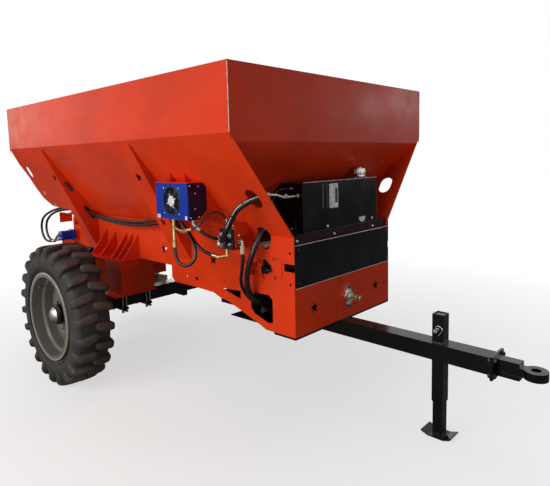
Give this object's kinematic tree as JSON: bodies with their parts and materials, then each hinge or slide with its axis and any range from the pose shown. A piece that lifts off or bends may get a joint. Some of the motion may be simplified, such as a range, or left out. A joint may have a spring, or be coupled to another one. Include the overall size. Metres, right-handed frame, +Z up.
{
  "type": "manure spreader",
  "caption": "Trailed spreader: open hopper with sloping sides over a chain conveyor, rear gate and spinner discs, on a single axle with a drawbar and drop stand.",
  "frame": {"origin": "on the ground, at the middle of the length and width", "axes": "+X forward to the tow eye, +Y to the left, +Z up"},
  "size_m": [4.587, 2.51, 2.162],
  "materials": {
    "orange_paint": "glossy orange-red paint",
    "black_paint": "glossy black paint",
    "blue_paint": "glossy blue paint",
    "grey_plastic": "moulded plastic",
    "dark_iron": "cast iron, black",
    "bright_steel": "zinc plated",
    "brass": "bare brass",
    "worn_steel": "bare rolled steel",
    "wheel_paint": "silver-grey paint",
    "tyre": "tyre rubber",
    "hose_rubber": "wrapped hose"
  },
  "bodies": {
    "chassis": {"axle_beam": "black_paint", "axle_clamps": "black_paint", "axle_stands": "orange_paint", "chassis_sides": "orange_paint", "control_valve": "dark_iron", "conveyor_motor": "blue_paint", "conveyor_runs": "worn_steel", "conveyor_shafts": "worn_steel", "cooler_bracket": "orange_paint", "drawbar": "black_paint", "drawbar_plates": "black_paint", "drop_chute": "orange_paint", "fittings_brass": "brass", "fittings_steel": "bright_steel", "front_cover": "black_paint", "front_lower_panel": "orange_paint", "gate_guides": "orange_paint", "hitch_bracket": "black_paint", "hopper_floor": "worn_steel", "hopper_front_wall": "orange_paint", "hopper_rear_wall": "orange_paint", "hopper_sides": "orange_paint", "hose_bypass": "hose_rubber", "hose_cable": "hose_rubber", "hose_cooler": "hose_rubber", "hose_long_inner": "hose_rubber", "hose_long_outer": "hose_rubber", "hose_pressure": "hose_rubber", "hose_return": "hose_rubber", "hose_suction": "hose_rubber", "motor_guard": "orange_paint", "oil_cooler": "blue_paint", "oil_tank": "black_paint", "pto_bearing": "bright_steel", "pump_block": "black_paint", "shaft_bearings": "orange_paint", "side_ribs_middle": "orange_paint", "side_ribs_rear": "orange_paint", "spinner_frame": "black_paint", "stand_pin": "bright_steel", "stand_sleeve": "black_paint", "tank_fittings": "bright_steel", "tank_shelf": "orange_paint", "tow_eye": "black_paint", "valve_bracket": "orange_paint"},
    "wheel_right": {"rim_right": "wheel_paint", "tyre_right": "tyre", "hub_right": "bright_steel"},
    "wheel_left": {"rim_left": "wheel_paint", "tyre_left": "tyre", "hub_left": "bright_steel"},
    "stand": {"stand_leg": "black_paint"},
    "gate": {"rear_gate": "orange_paint"},
    "fan": {"cooler_fan": "grey_plastic"},
    "pto": {"pto_shaft": "bright_steel"},
    "spinner_right": {"spinner_disc_right": "worn_steel"},
    "spinner_left": {"spinner_disc_left": "worn_steel"}
  },
  "joints": [
    {"name": "wheel_right_spin", "type": "hinge", "parent": "chassis", "child": "wheel_right", "pos_m": [-0.7865, -1.1135, 0.53], "axis": [0, 1, 0], "continuous": true},
    {"name": "wheel_left_spin", "type": "hinge", "parent": "chassis", "child": "wheel_left", "pos_m": [-0.7865, 1.1135, 0.53], "axis": [0, 1, 0], "continuous": true},
    {"name": "stand_slide", "type": "slide", "parent": "chassis", "child": "stand", "axis": [0, 0, 1], "range_m": [0, 0.18]},
    {"name": "gate_slide", "type": "slide", "parent": "chassis", "child": "gate", "axis": [0, 0, 1], "range_m": [0, 0.18]},
    {"name": "fan_spin", "type": "hinge", "parent": "chassis", "child": "fan", "pos_m": [0.3695, -0.86, 1.416], "axis": [0, 1, 0], "continuous": true},
    {"name": "pto_spin", "type": "hinge", "parent": "chassis", "child": "pto", "pos_m": [1.0465, 0, 0.734], "axis": [1, 0, 0], "continuous": true},
    {"name": "spinner_right_spin", "type": "hinge", "parent": "chassis", "child": "spinner_right", "pos_m": [-2.0035, -0.345, 0.33], "axis": [0, 0, 1], "continuous": true},
    {"name": "spinner_left_spin", "type": "hinge", "parent": "chassis", "child": "spinner_left", "pos_m": [-2.0035, 0.345, 0.33], "axis": [0, 0, 1], "continuous": true}
  ]
}
